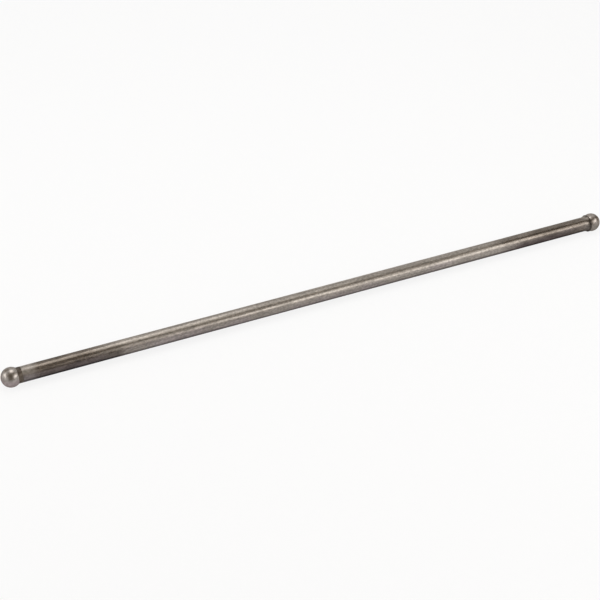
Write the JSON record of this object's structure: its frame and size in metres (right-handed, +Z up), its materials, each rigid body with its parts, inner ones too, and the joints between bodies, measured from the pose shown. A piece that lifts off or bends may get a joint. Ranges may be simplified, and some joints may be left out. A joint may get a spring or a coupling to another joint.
{
  "type": "engine pushrod",
  "caption": "Slender tubular engine pushrod: a drawn steel tube with a ground ball end pressed into each mouth, which passes the tappet's lift to the rocker arm.",
  "frame": {"origin": "centre of the tappet ball, at the tube's square-cut end", "axes": "+X along the rod from the tappet ball to the rocker ball, +Z up as the rod lies"},
  "size_m": [0.275, 0.008, 0.008],
  "materials": {
    "drawn_steel": "drawn lengthwise, satin, with a thin brown-grey oxide that is darker near both ends",
    "ground_steel": "ground bright on the balls, dark from heat treatment on the shoulder and in the groove by the bell"
  },
  "bodies": {
    "root": {"tube": "drawn_steel", "tappet_ball_end": "ground_steel", "rocker_ball_end": "ground_steel"}
  },
  "joints": []
}
